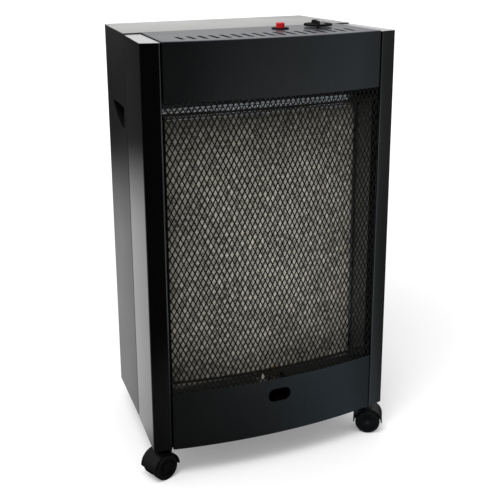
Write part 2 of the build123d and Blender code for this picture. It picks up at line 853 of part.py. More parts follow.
with BuildPart() as igniter_nut:
    with BuildSketch(Plane.XY.offset(roof_z)):
        with Locations((button_offset, controls_y)):
            RegularPolygon(collar_radius, 6)
            Circle(igniter_radius, mode=Mode.SUBTRACT)
    extrude(amount=-4)
keep("igniter_nut", igniter_nut)

with BuildPart() as igniter_collar:
    with BuildSketch(Plane.XY.offset(top_z)):
        with Locations((button_offset, controls_y)):
            Circle(collar_radius)
    extrude(amount=collar_height)
    fillet(edges().group_by(Axis.Z)[-1], radius=1.5)
    with BuildSketch(Plane.XY.offset(top_z)):
        with Locations((button_offset, controls_y)):
            Circle(button_radius + fit)
    extrude(amount=collar_height, mode=Mode.SUBTRACT)
keep("igniter_collar", igniter_collar)

with BuildPart() as igniter_button:
    with BuildSketch(Plane.XY.offset(button_bottom)):
        with Locations((button_offset, controls_y)):
            Circle(button_radius)
    extrude(amount=button_sunk + collar_height + button_proud)
    fillet(edges().group_by(Axis.Z)[-1], radius=1.8)
    with BuildSketch(Plane.XY.offset(button_bottom)):
        with Locations((button_offset, controls_y)):
            Circle(button_stem)
    extrude(amount=-button_stem_length)
keep("igniter_button", igniter_button)

# ================================================================ gas line
feed_radius = 4.0
feed_bend = 16.0
injector_size = 12.0
pilot_pipe_radius = 2.0
lead_radius = 1.5
pilot_bend = 12.0
lead_bend = 8.0
nozzle_length = 22.0
hose_radius = 4.5
wall_y = seam_y - sheet  # rear face of the bulkhead's upper part
plate_z = base_z + plate_rise
pilot_x = pilot_offset + pilot_shift
thermo_x = pilot_offset - thermo_shift
spark_x = pilot_offset - spark_shift


def tube(points, radius, corner):
    # Straight runs joined by arcs of one radius.
    with BuildLine() as path:
        FilletPolyline(*points, radius=corner)
    with BuildSketch(Plane(origin=path.line @ 0, z_dir=path.line % 0)) as ring:
        Circle(radius)
    sweep(ring.sketch, path=path.line)


with BuildPart() as injector:
    with BuildSketch(Plane.XZ.offset(-tray_back)):
        with Locations((feed_offset, feed_z)):
            Rectangle(injector_size, injector_size)
            chamfer(vertices(), length=2)
    extrude(amount=-injector_size)
    with BuildSketch(Plane.XZ.offset(-tray_back)):
        with Locations((feed_offset, feed_z)):
            Circle(nozzle_radius)
    extrude(amount=sheet + 3)
keep("injector", injector)

with BuildPart() as feed_pipe:
    pipe_y = tray_back + injector_size / 2
    tube(
        [
            (knob_offset, pipe_y, valve_bottom),
            (knob_offset, pipe_y, feed_z),
            (feed_offset + injector_size / 2, pipe_y, feed_z),
        ],
        feed_radius,
        feed_bend,
    )
keep("feed_pipe", feed_pipe)

with BuildPart() as inlet_pipe:
    with BuildSketch(Plane.XZ.offset(-wall_y)):
        with Locations((knob_offset, port_z)):
            Circle(pipe_radius)
    extrude(amount=wall_y - valve_back)
    with BuildSketch(Plane.XZ.offset(sheet - wall_y)):
        with Locations((knob_offset, port_z)):
            RegularPolygon(pipe_radius * 2, 6)
    extrude(amount=5)
keep("inlet_pipe", inlet_pipe)

with BuildPart() as hose_nozzle:
    with BuildSketch(Plane.XZ.offset(-wall_y)):
        with Locations((knob_offset, port_z)):
            RegularPolygon(hose_radius * 1.9, 6)
    extrude(amount=-6)
    with BuildSketch(Plane.XZ.offset(-wall_y - 6)):
        with Locations((knob_offset, port_z)):
            Circle(hose_radius)
    extrude(amount=-nozzle_length)
    chamfer(edges().group_by(Axis.Y)[-1], length=1)
keep("hose_nozzle", hose_nozzle)

with BuildPart() as pilot_pipe:
    tube(
        [
            (knob_offset + pilot_port, controls_y, valve_bottom),
            (knob_offset + pilot_port, controls_y, plate_z - pilot_run),
            (knob_offset + pilot_port, pilot_y, plate_z - pilot_run),
            (pilot_x, pilot_y, plate_z - pilot_run),
            (pilot_x, pilot_y, plate_z),
        ],
        pilot_pipe_radius,
        pilot_bend,
    )
keep("pilot_pipe", pilot_pipe)

with BuildPart() as thermocouple:
    tube(
        [
            (knob_offset + thermo_port, controls_y, valve_bottom),
            (knob_offset + thermo_port, controls_y, plate_z - thermo_run),
            (knob_offset + thermo_port, pilot_y, plate_z - thermo_run),
            (thermo_x, pilot_y, plate_z - thermo_run),
            (thermo_x, pilot_y, plate_z + pilot_height),
        ],
        lead_radius,
        lead_bend,
    )
    with BuildSketch(Plane.XY.offset(plate_z + sheet)):
        with Locations((thermo_x, pilot_y)):
            Circle(lead_radius * 1.6)
    extrude(amount=pilot_height * 0.6)
keep("thermocouple", thermocouple)

with BuildPart() as ignition_lead:
    tube(
        [
            (button_offset, controls_y, igniter_bottom),
            (button_offset, controls_y, plate_z - lead_run),
            (button_offset, pilot_y, plate_z - lead_run),
            (spark_x, pilot_y, plate_z - lead_run),
            (spark_x, pilot_y, plate_z - ceramic_drop),
        ],
        lead_radius,
        lead_bend,
    )
keep("ignition_lead", ignition_lead)

with BuildPart() as spark_electrode:
    with BuildSketch(Plane.XY.offset(plate_z - ceramic_drop)):
        with Locations((spark_x, pilot_y)):
            Circle(lead_radius * 1.8)
    extrude(amount=ceramic_drop + pilot_height * 0.7)
    with BuildSketch(Plane.XY.offset(plate_z + pilot_height * 0.7)):
        with Locations((spark_x, pilot_y)):
            Circle(spark_radius)
    extrude(amount=pilot_height * 0.3)
keep("spark_electrode", spark_electrode)

with BuildPart() as pilot_burner:
    with BuildSketch(Plane.XY.offset(plate_z + sheet)):
        with Locations((pilot_x, pilot_y)):
            RegularPolygon(pilot_nut, 6)
    extrude(amount=pilot_nut_height)
    with BuildSketch(Plane.XY.offset(plate_z + sheet + pilot_nut_height)):
        with Locations((pilot_x, pilot_y)):
            Circle(pilot_radius)
    extrude(amount=pilot_height - pilot_nut_height)
    with BuildSketch(Plane.XY.offset(plate_z + sheet + pilot_height)):
        with Locations((pilot_x - pilot_cap_shift, pilot_y)):
            Rectangle(pilot_cap_width, pilot_cap_depth)
            fillet(vertices(), radius=2)
    extrude(amount=sheet)
keep("pilot_burner", pilot_burner)

with BuildPart() as pilot_bracket:
    with BuildSketch(Plane.YZ.offset(pilot_offset)):
        folded(
            [
                (pad_y, tray_bottom - sheet - fit),
                (pad_y, plate_z),
                (pilot_y - plate_front, plate_z),
            ],
            side=Side.RIGHT,
        )
    extrude(amount=plate_half, both=True)
    with BuildSketch(Plane.XY.offset(plate_z)):
        with Locations((pilot_x, pilot_y)):
            Circle(pilot_pipe_radius)
        with Locations((thermo_x, pilot_y)):
            Circle(lead_radius)
        with Locations((spark_x, pilot_y)):
            Circle(lead_radius * 1.8)
    extrude(amount=sheet, mode=Mode.SUBTRACT)
keep("pilot_bracket", pilot_bracket)

# ================================================================ rear cover
cover_y = rear_y + fit
cover_bottom = base_z + sheet
rim_half = half_rear - sheet
rim_top = top_z - 2 * sheet


def cover_section(inset, half, head, low):
    with Locations((0, (low + top_z - head - inset) / 2)):
        Rectangle(2 * (half - inset), top_z - head - inset - low)


def cover_bulge_shape(inset, low):
    # The bulge of the rear cover, or with an inset the space inside it.
    with BuildPart() as shape:
        with BuildSketch(Plane.XZ.offset(-cover_y)):
            cover_section(inset, cover_half, cover_head, low)
        with BuildSketch(Plane.XZ.offset(inset - back_y)):
            cover_section(inset, cover_half_back, cover_head_back, low)
        loft(ruled=True)
        upright = shape.edges().filter_by(lambda edge: abs((edge % 0).Z) > 0.99)
        fillet(upright.group_by(Axis.Y)[-1], radius=cover_corner - inset)
        lid = shape.faces().sort_by(Axis.Z)[-1]
        fillet(lid.edges().sort_by(Axis.Y)[1:], radius=cover_soft - inset)
    return shape.part


with BuildPart() as rear_cover:
    add(cover_bulge_shape(0, cover_bottom))
    add(cover_bulge_shape(sheet, cover_bottom - sheet), mode=Mode.SUBTRACT)
    with BuildSketch(Plane.XZ.offset(-cover_y)):
        with Locations((0, (cover_bottom + rim_top) / 2)):
            Rectangle(2 * rim_half, rim_top - cover_bottom)
        inner_top = top_z - cover_head - sheet
        with Locations((0, (cover_bottom + inner_top) / 2)):
            Rectangle(2 * (cover_half - sheet), inner_top - cover_bottom, mode=Mode.SUBTRACT)
    extrude(amount=-sheet)
    for side in (-1, 1):
        for rise in tab_rises:
            with BuildSketch(Plane.YZ.offset(side * tab_x)):
                with Locations((cover_y + sheet - tab_reach / 2, base_z + rise)):
                    Rectangle(tab_reach, tab_height)
            extrude(amount=sheet / 2, both=True)
    with BuildSketch(Plane.XZ.offset(-back_y)):
        for z in (base_z + louvre_low, top_z - louvre_high):
            with Locations((0, z)):
                with GridLocations(louvre_pitch, louvre_step, 3, 4):
                    SlotOverall(louvre_length, louvre_width)
    extrude(amount=3 * sheet, mode=Mode.SUBTRACT)
keep("rear_cover", rear_cover)

# ================================================================ casters
stem_top = floor_z + stud_length
flange_z = floor_z - stem_flange
hood_top = flange_z - fit
fender_inner = wheel_radius + fender_gap
fender_outer = fender_inner + fender
wheel_start = web / 2 + wheel_gap
axle_half = wheel_start + wheel_width

with BuildPart() as caster_stems:
    for radius, low, high in (
        (stem_flange_radius, flange_z, floor_z),
        (stem_radius, flange_z - stem_length, flange_z),
        (stem_radius, floor_z, stem_top),
    ):
        with BuildSketch(Plane.XY.offset(low)):
            with Locations(*stem_places):
                Circle(radius)
        extrude(amount=high - low)
keep("caster_stems", caster_stems)

with BuildPart() as caster_nuts:
    with BuildSketch(Plane.XY.offset(floor_top)):
        with Locations(*stem_places):
            RegularPolygon(nut_width / 2, 6, major_radius=False)
            Circle(stem_radius, mode=Mode.SUBTRACT)
    extrude(amount=nut_height)
keep("caster_nuts", caster_nuts)


def wheel_circle(radius):
    with Locations((trail, wheel_radius)):
        Circle(radius)


for name, (x, y, turn) in casters.items():
    way = Vector(math.cos(math.radians(turn)), math.sin(math.radians(turn)))
    upright_plane = Plane(origin=(x, y, 0), x_dir=way, z_dir=(way.Y, -way.X, 0))

    with BuildPart() as hood:
        with BuildSketch(upright_plane):
            wheel_circle(fender_outer)
            wheel_circle(fender_inner)
            with Locations((trail, wheel_radius - fender_outer)):
                Rectangle(2 * fender_outer, 2 * fender_outer, mode=Mode.SUBTRACT)
        extrude(amount=axle_half, both=True)
        with BuildSketch(Plane.XY.offset(wheel_radius + fender)):
            with Locations((x, y)):
                Circle(boss_radius)
        extrude(amount=hood_top - wheel_radius - fender)
        with BuildSketch(upright_plane):
            wheel_circle(fender_inner)
        extrude(amount=axle_half, both=True, mode=Mode.SUBTRACT)
        with BuildSketch(upright_plane):
            wheel_circle(fender_inner + fender / 2)
            with Locations((trail, wheel_radius - fender_outer)):
                Rectangle(2 * fender_outer, 2 * fender_outer, mode=Mode.SUBTRACT)
            wheel_circle(axle_radius * 2.4)
            wheel_circle(axle_radius)
        extrude(amount=web / 2, both=True)
        with BuildSketch(upright_plane):
            wheel_circle(axle_radius)
        extrude(amount=web, both=True, mode=Mode.SUBTRACT)
        with BuildSketch(Plane.XY.offset(hood_top)):
            with Locations((x, y)):
                Circle(stem_radius + shaft_play)
        extrude(amount=-stem_length - fit, mode=Mode.SUBTRACT)
    keep(name + "_caster_hood", hood)

    with BuildPart() as axle:
        with BuildSketch(upright_plane):
            wheel_circle(axle_radius)
        extrude(amount=axle_half + 1, both=True)
    keep(name + "_axle", axle)

    with BuildPart() as wheels:
        for side in (-1, 1):
            with BuildSketch(upright_plane.offset(side * wheel_start)):
                wheel_circle(wheel_radius)
            extrude(amount=side * wheel_width)
        rims = edges().filter_by(GeomType.CIRCLE)
        fillet(rims, radius=2.5)
        for side in (-1, 1):
            with BuildSketch(upright_plane.offset(side * axle_half)):
                wheel_circle(wheel_radius * 0.72)
                with Locations((trail, wheel_radius)):
                    Circle(wheel_radius * 0.34, mode=Mode.SUBTRACT)
            extrude(amount=-side * 3, mode=Mode.SUBTRACT)
        with BuildSketch(upright_plane):
            wheel_circle(axle_radius + shaft_play)
        extrude(amount=axle_half, both=True, mode=Mode.SUBTRACT)
    keep(name + "_wheels", wheels)

# ================================================================ files
os.makedirs("parts", exist_ok=True)
for name, piece in parts.items():
    export_step(piece, f"parts/{name}.step")
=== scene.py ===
import math

import bpy
import bmesh
from mathutils import Matrix, Vector, noise


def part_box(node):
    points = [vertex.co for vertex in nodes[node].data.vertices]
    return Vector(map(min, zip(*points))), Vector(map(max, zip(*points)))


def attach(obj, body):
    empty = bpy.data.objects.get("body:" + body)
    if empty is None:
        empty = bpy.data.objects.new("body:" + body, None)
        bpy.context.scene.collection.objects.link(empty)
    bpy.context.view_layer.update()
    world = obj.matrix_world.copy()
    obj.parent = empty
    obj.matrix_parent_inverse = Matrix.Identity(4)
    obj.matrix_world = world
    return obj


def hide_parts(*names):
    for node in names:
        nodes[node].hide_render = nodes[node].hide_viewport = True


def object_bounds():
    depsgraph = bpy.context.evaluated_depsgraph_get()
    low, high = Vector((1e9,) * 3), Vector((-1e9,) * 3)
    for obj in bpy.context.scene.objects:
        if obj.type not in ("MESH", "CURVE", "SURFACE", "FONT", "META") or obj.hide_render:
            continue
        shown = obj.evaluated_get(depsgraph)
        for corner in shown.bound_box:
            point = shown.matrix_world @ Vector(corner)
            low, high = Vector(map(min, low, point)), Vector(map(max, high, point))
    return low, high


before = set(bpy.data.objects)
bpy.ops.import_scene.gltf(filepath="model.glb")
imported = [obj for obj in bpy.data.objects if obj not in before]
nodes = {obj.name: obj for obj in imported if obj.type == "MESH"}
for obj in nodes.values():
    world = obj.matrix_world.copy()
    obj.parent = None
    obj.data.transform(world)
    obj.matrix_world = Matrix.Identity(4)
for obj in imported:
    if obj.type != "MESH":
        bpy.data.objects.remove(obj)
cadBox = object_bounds()
print("stage: frame loaded", len(nodes), "nodes")

looks = bpy.data.collections.new("heaterLooks")
bpy.context.scene.collection.children.link(looks)


def addPiece(name, mesh, body, material):
    # clearing first drops the empty slot that a baked mesh keeps
    mesh.materials.clear()
    mesh.materials.append(material)
    piece = bpy.data.objects.new(name, mesh)
    looks.objects.link(piece)
    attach(piece, body)
    return piece


def bakeToMesh(piece, name):
    # the evaluated result becomes a plain mesh, and the helper object goes
    bpy.context.view_layer.update()
    graph = bpy.context.evaluated_depsgraph_get()
    mesh = bpy.data.meshes.new_from_object(piece.evaluated_get(graph))
    mesh.name = name
    piece.modifiers.clear()
    bpy.data.objects.remove(piece)
    return mesh


def setInputs(modifier, values):
    # values go in by the sockets' identifiers
    for item in modifier.node_group.interface.items_tree:
        if item.item_type == "SOCKET" and item.in_out == "INPUT" and item.name in values:
            modifier[item.identifier] = values[item.name]


def gray(level, tint=(1, 1, 1)):
    return (level * tint[0], level * tint[1], level * tint[2], 1)


class Tree:
    # a thin wrapper: one line for a node with what feeds it
    def __init__(self, tree):
        self.tree = tree

    def add(self, kind, **settings):
        node = self.tree.nodes.new(kind)
        for key, value in settings.items():
            setattr(node, key, value)
        return node

    def join(self, source, target):
        self.tree.links.new(source, target)

    def feed(self, target, value):
        # a socket is linked, anything else is set
        if isinstance(value, bpy.types.NodeSocket):
            self.tree.links.new(value, target)
        else:
            target.default_value = value

    def sum(self, operation, *values):
        node = self.add("ShaderNodeMath", operation=operation)
        for socket, value in zip(node.inputs, values):
            self.feed(socket, value)
        return node.outputs[0]

    def mix(self, factor, first, second):
        node = self.add("ShaderNodeMix", data_type="RGBA")
        for label, value in (("Factor", factor), ("A", first), ("B", second)):
            self.feed(node.inputs[label], value)
        return node.outputs["Result"]

    def spread(self, value, fromRange, toRange=(0.0, 1.0), shape="LINEAR"):
        node = self.add("ShaderNodeMapRange", interpolation_type=shape)
        labels = ("Value", "From Min", "From Max", "To Min", "To Max")
        for label, item in zip(labels, (value, *fromRange, *toRange)):
            self.feed(node.inputs[label], item)
        return node.outputs["Result"]

    def cloud(self, vector, scale, detail):
        node = self.add("ShaderNodeTexNoise")
        node.inputs["Detail"].default_value = detail
        self.feed(node.inputs["Scale"], scale)
        self.join(vector, node.inputs["Vector"])
        return node.outputs["Fac"]

    def axes(self, vector):
        node = self.add("ShaderNodeSeparateXYZ")
        self.join(vector, node.inputs[0])
        return node.outputs

    def vector(self, **parts):
        node = self.add("ShaderNodeCombineXYZ")
        for axis, value in parts.items():
            self.feed(node.inputs[axis.upper()], value)
        return node.outputs[0]


# what the three shared surfaces are made of: noise scale per metre and detail
grain = {
    "sheetCloud": (9.0, 4.0),
    "sheetSpeck": (260.0, 2.0),
    "peelDetail": 2.0,
    "metalScratch": (60.0, 6.0),
    "metalCloud": (18.0, 5.0),
    "plasticPatch": (55.0, 3.0),
    "glossSpan": (0.3, 0.7),  # the part of a noise that runs from the low gloss value to the high
}


def newSurface(name, inputs):
    group = bpy.data.node_groups.new(name, "ShaderNodeTree")
    group.interface.new_socket("Vector", in_out="INPUT", socket_type="NodeSocketVector")
    for label, kind, value in inputs:
        socket = group.interface.new_socket(label, in_out="INPUT", socket_type="NodeSocket" + kind)
        socket.default_value = value
    for label, kind in (("Colour", "Color"), ("Roughness", "Float"), ("Height", "Float")):
        group.interface.new_socket(label, in_out="OUTPUT", socket_type="NodeSocket" + kind)
    tree = Tree(group)
    return tree, tree.add("NodeGroupInput").outputs, tree.add("NodeGroupOutput").inputs


def endSurface(tree, given, out, colour, uneven, height):
    # the three outputs that every shared surface has
    tree.join(colour, out["Colour"])
    gloss = tree.spread(uneven, grain["glossSpan"], (given["Gloss Low"], given["Gloss High"]))
    tree.join(gloss, out["Roughness"])
    tree.join(height, out["Height"])
    return tree.tree


def buildCoatedSheet():
    # stoved enamel on pressed steel: slight orange peel, faint dust and uneven gloss
    tree, given, out = newSurface("coatedSheet", [
        ("Colour", "Color", gray(0.02)),
        ("Dust Colour", "Color", gray(0.12)),
        ("Dust", "Float", 0.1),
        ("Gloss Low", "Float", 0.3),
        ("Gloss High", "Float", 0.42),
        ("Peel Scale", "Float", 900.0),
    ])
    cloud = tree.cloud(given["Vector"], *grain["sheetCloud"])
    speck = tree.cloud(given["Vector"], *grain["sheetSpeck"])
    dusty = tree.sum("MULTIPLY", tree.sum("MULTIPLY", cloud, speck), given["Dust"])
    colour = tree.mix(dusty, given["Colour"], given["Dust Colour"])
    peel = tree.cloud(given["Vector"], given["Peel Scale"], grain["peelDetail"])
    return endSurface(tree, given, out, colour, cloud, peel)


def buildBrushedMetal():
    # rolled or drawn metal: long fine scratches and soft cloudy stains
    tree, given, out = newSurface("brushedMetal", [
        ("Colour", "Color", gray(0.5)),
        ("Stain Colour", "Color", gray(0.3)),
        ("Stain", "Float", 0.4),
        ("Stretch", "Vector", (1.0, 1.0, 20.0)),
        ("Gloss Low", "Float", 0.2),
        ("Gloss High", "Float", 0.4),
    ])
    longer = tree.add("ShaderNodeVectorMath", operation="MULTIPLY")
    tree.join(given["Vector"], longer.inputs[0])
    tree.join(given["Stretch"], longer.inputs[1])
    scratch = tree.cloud(longer.outputs[0], *grain["metalScratch"])
    cloud = tree.cloud(given["Vector"], *grain["metalCloud"])
    stained = tree.sum("MULTIPLY", cloud, given["Stain"])
    colour = tree.mix(stained, given["Colour"], given["Stain Colour"])
    return endSurface(tree, given, out, colour, scratch, scratch)


def buildMouldedPlastic():
    # injection-moulded plastic: spark-eroded grain and rubbed, lighter patches
    tree, given, out = newSurface("mouldedPlastic", [
        ("Colour", "Color", gray(0.02)),
        ("Rubbed Colour", "Color", gray(0.1)),
        ("Rubbed", "Float", 0.2),
        ("Grain Scale", "Float", 1500.0),
        ("Gloss Low", "Float", 0.3),
        ("Gloss High", "Float", 0.5),
    ])
    patch = tree.cloud(given["Vector"], *grain["plasticPatch"])
    pits = tree.add("ShaderNodeTexVoronoi")
    tree.join(given["Vector"], pits.inputs["Vector"])
    tree.join(given["Grain Scale"], pits.inputs["Scale"])
    rubbed = tree.sum("MULTIPLY", patch, given["Rubbed"])
    colour = tree.mix(rubbed, given["Colour"], given["Rubbed Colour"])
    return endSurface(tree, given, out, colour, patch, pits.outputs["Distance"])


surfaceGroups = {
    "coatedSheet": buildCoatedSheet(),
    "brushedMetal": buildBrushedMetal(),
    "mouldedPlastic": buildMouldedPlastic(),
}

# kind is the shared surface, values go into its inputs, the rest is for the shader
finishTable = {
    "frontEnamel": {
        "kind": "coatedSheet", "bump": 0.05,
        "values": {"Colour": gray(0.002, (0.9, 1.0, 1.1)), "Dust Colour": gray(0.02), "Dust": 0.2,
                   "Gloss Low": 0.24, "Gloss High": 0.3},
    },
    "pillarEnamel": {
        "kind": "coatedSheet", "coat": 1.0, "bump": 0.03,
        "values": {"Colour": gray(0.0006), "Dust Colour": gray(0.01), "Dust": 0.1,
                   "Gloss Low": 0.12, "Gloss High": 0.18},
    },
    "sideEnamel": {
        "kind": "coatedSheet", "specular": 1.0, "coat": 0.18, "bump": 0.03,
        "values": {"Colour": gray(0.002, (1.15, 1.05, 0.9)), "Dust Colour": gray(0.02),
                   "Dust": 0.12, "Gloss Low": 0.22, "Gloss High": 0.28},
    },
    "topEnamel": {
        "kind": "coatedSheet", "coat": 0.3, "bump": 0.03,
        "values": {"Colour": gray(0.03, (1.1, 1.04, 0.75)), "Dust Colour": gray(0.06), "Dust": 0.2,
                   "Gloss Low": 0.14, "Gloss High": 0.2},
    },
    "deckEnamel": {
        "kind": "coatedSheet", "bump": 0.06,
        "values": {"Colour": gray(0.02, (0.85, 0.95, 1.5)), "Dust Colour": gray(0.06), "Dust": 0.2,
                   "Gloss Low": 0.28, "Gloss High": 0.34},
    },
    "guardEnamel": {
        "kind": "coatedSheet", "specular": 0.12, "bump": 0.1,
        "values": {"Colour": gray(0.005, (1.1, 1.0, 0.8)), "Dust Colour": gray(0.04), "Dust": 0.2,
                   "Gloss Low": 0.45, "Gloss High": 0.6},
    },
    "blackedSheet": {
        "kind": "coatedSheet", "specular": 0.3, "bump": 0.1,
        "values": {"Colour": gray(0.006), "Dust Colour": gray(0.04), "Dust": 0.4,
                   "Gloss Low": 0.4, "Gloss High": 0.6},
    },
    "zincSheet": {
        "kind": "brushedMetal", "metallic": 1.0, "bump": 0.05,
        "values": {"Colour": gray(0.62, (1.0, 1.0, 1.02)), "Stain Colour": gray(0.4), "Stain": 0.5,
                   "Stretch": (12.0, 12.0, 1.0), "Gloss Low": 0.16, "Gloss High": 0.3},
    },
    "cheekSteel": {
        "kind": "brushedMetal", "metallic": 1.0, "bump": 0.05,
        "values": {"Colour": gray(0.24, (0.9, 1.0, 1.06)), "Stain Colour": gray(0.1), "Stain": 0.6,
                   "Stretch": (14.0, 14.0, 1.0), "Gloss Low": 0.22, "Gloss High": 0.36},
    },
    "brightTrim": {
        "kind": "brushedMetal", "metallic": 1.0, "bump": 0.01,
        "values": {"Colour": gray(0.98, (1.0, 0.97, 0.95)), "Stain Colour": gray(0.85),
                   "Stain": 0.2, "Stretch": (1.0, 14.0, 14.0), "Gloss Low": 0.06, "Gloss High": 0.12},
    },
    "blackedSteel": {
        "kind": "brushedMetal", "metallic": 1.0, "bump": 0.08,
        "values": {"Colour": gray(0.06), "Stain Colour": gray(0.03), "Stain": 0.5,
                   "Stretch": (3.0, 3.0, 3.0), "Gloss Low": 0.35, "Gloss High": 0.5},
    },
    "zincFixings": {
        "kind": "brushedMetal", "metallic": 1.0, "bump": 0.08,
        "values": {"Colour": gray(0.5, (1.0, 0.99, 0.95)), "Stain Colour": gray(0.3), "Stain": 0.5,
                   "Stretch": (3.0, 3.0, 3.0), "Gloss Low": 0.25, "Gloss High": 0.45},
    },
    "brassBody": {
        "kind": "brushedMetal", "metallic": 1.0, "bump": 0.08,
        "values": {"Colour": (0.62, 0.44, 0.19, 1), "Stain Colour": (0.35, 0.22, 0.1, 1),
                   "Stain": 0.5, "Stretch": (3.0, 3.0, 3.0), "Gloss Low": 0.25, "Gloss High": 0.45},
    },
    "copperTube": {
        "kind": "brushedMetal", "metallic": 1.0, "bump": 0.05,
        "values": {"Colour": (0.26, 0.12, 0.07, 1), "Stain Colour": (0.1, 0.045, 0.03, 1),
                   "Stain": 0.6, "Stretch": (3.0, 3.0, 1.0), "Gloss Low": 0.2, "Gloss High": 0.42},
    },
    # the knob's light grey pointer mark: a pointer, and partly a painted highlight on the grip's
    # bright face
    "pointerMarkAndHighlight": {
        "kind": "mouldedPlastic", "specular": 0.3,
        "values": {"Colour": gray(0.3), "Rubbed Colour": gray(0.2), "Rubbed": 0.4,
                   "Gloss Low": 0.3, "Gloss High": 0.45},
    },
    "leadSleeve": {
        "kind": "mouldedPlastic",
        "values": {"Colour": (0.1, 0.015, 0.012, 1), "Rubbed Colour": (0.16, 0.05, 0.04, 1),
                   "Gloss Low": 0.4, "Gloss High": 0.55},
    },
    "glazedCeramic": {
        "kind": "mouldedPlastic",
        "values": {"Colour": (0.75, 0.72, 0.66, 1), "Rubbed Colour": (0.55, 0.48, 0.4, 1),
                   "Gloss Low": 0.15, "Gloss High": 0.3},
    },
    "cupPlastic": {
        "kind": "mouldedPlastic", "specular": 0.04,
        "values": {"Colour": gray(0.0015), "Rubbed Colour": gray(0.006), "Rubbed": 0.3,
                   "Gloss Low": 0.6, "Gloss High": 0.75},
    },
    "knobPlastic": {
        "kind": "mouldedPlastic", "specular": 0.05,
        "values": {"Colour": gray(0.003), "Rubbed Colour": gray(0.01), "Rubbed": 0.3,
                   "Gloss Low": 0.6, "Gloss High": 0.75},
    },
    "buttonRed": {
        "kind": "mouldedPlastic", "specular": 0.25,
        "values": {"Colour": (0.5, 0.008, 0.01, 1), "Rubbed Colour": (0.62, 0.03, 0.03, 1),
                   "Rubbed": 0.4, "Gloss Low": 0.25, "Gloss High": 0.35},
    },
    "casterPlastic": {
        "kind": "mouldedPlastic", "specular": 0.12, "bump": 0.15,
        "values": {"Colour": gray(0.002), "Rubbed Colour": gray(0.008), "Rubbed": 0.3,
                   "Gloss Low": 0.35, "Gloss High": 0.5},
    },
    "wheelPlastic": {
        "kind": "mouldedPlastic", "specular": 0.14, "bump": 0.2,
        "values": {"Colour": gray(0.003), "Rubbed Colour": gray(0.014), "Rubbed": 0.4,
                   "Gloss Low": 0.4, "Gloss High": 0.55},
    },
}
bumpDistance = 0.0002
coatRoughness = 0.15


def makeFinish(name, kind, values, metallic=0.0, specular=0.5, coat=0.0, bump=0.1):
    material = bpy.data.materials.new(name)
    material.use_nodes = True
    tree = Tree(material.node_tree)
    shader = material.node_tree.nodes["Principled BSDF"]
    place = tree.add("ShaderNodeTexCoord")
    group = tree.add("ShaderNodeGroup", node_tree=surfaceGroups[kind])
    tree.join(place.outputs["Object"], group.inputs["Vector"])
    for label, value in values.items():
        group.inputs[label].default_value = value
    tree.join(group.outputs["Colour"], shader.inputs["Base Color"])
    tree.join(group.outputs["Roughness"], shader.inputs["Roughness"])
    lift = tree.add("ShaderNodeBump")
    lift.inputs["Strength"].default_value = bump
    lift.inputs["Distance"].default_value = bumpDistance
    tree.join(group.outputs["Height"], lift.inputs["Height"])
    tree.join(lift.outputs["Normal"], shader.inputs["Normal"])
    shader.inputs["Metallic"].default_value = metallic
    shader.inputs["Specular IOR Level"].default_value = specular
    shader.inputs["Coat Weight"].default_value = coat
    shader.inputs["Coat Roughness"].default_value = coatRoughness
    return material


finishes = {name: makeFinish(name, **item) for name, item in finishTable.items()}

lips = {
    "cheekReach": 0.0017,  # of the cheeks' folded front lips, from their front
    "pillarReach": 0.0026,  # of the pillars' folded inner lips, from their inner side
    "colour": gray(0.003),
}


def blackenLip(material, axis, level, bothSides=False):
    # what lies below the level is made near black, with no sheen and no coat: a black metal reflects
    # next to nothing. On the pillars this is painted shade
    tree = Tree(material.node_tree)
    shader = material.node_tree.nodes["Principled BSDF"]
    across = tree.axes(tree.add("ShaderNodeTexCoord").outputs["Object"])[axis]
    if bothSides:
        across = tree.sum("ABSOLUTE", across)
    lip = tree.sum("LESS_THAN", across, level)
    paint = shader.inputs["Base Color"].links[0].from_socket
    tree.join(tree.mix(lip, paint, lips["colour"]), shader.inputs["Base Color"])
    if shader.inputs["Metallic"].default_value < 1:
        tree.join(lip, shader.inputs["Metallic"])
    coat = shader.inputs["Coat Weight"].default_value
    if coat > 0:
        bare = tree.sum("SUBTRACT", 1.0, lip)
        tree.join(tree.sum("MULTIPLY", bare, coat), shader.inputs["Coat Weight"])


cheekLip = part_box("left_reflector_cheek")[0].y + lips["cheekReach"]
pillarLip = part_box("right_pillar")[0].x + lips["pillarReach"]
blackenLip(finishes["cheekSteel"], "Y", cheekLip)
# painted shade: the pillars' inner lips are made black with no highlight, as a dark gap beside the
# guard
blackenLip(finishes["pillarEnamel"], "X", pillarLip, bothSides=True)
print("stage: finishes ready")

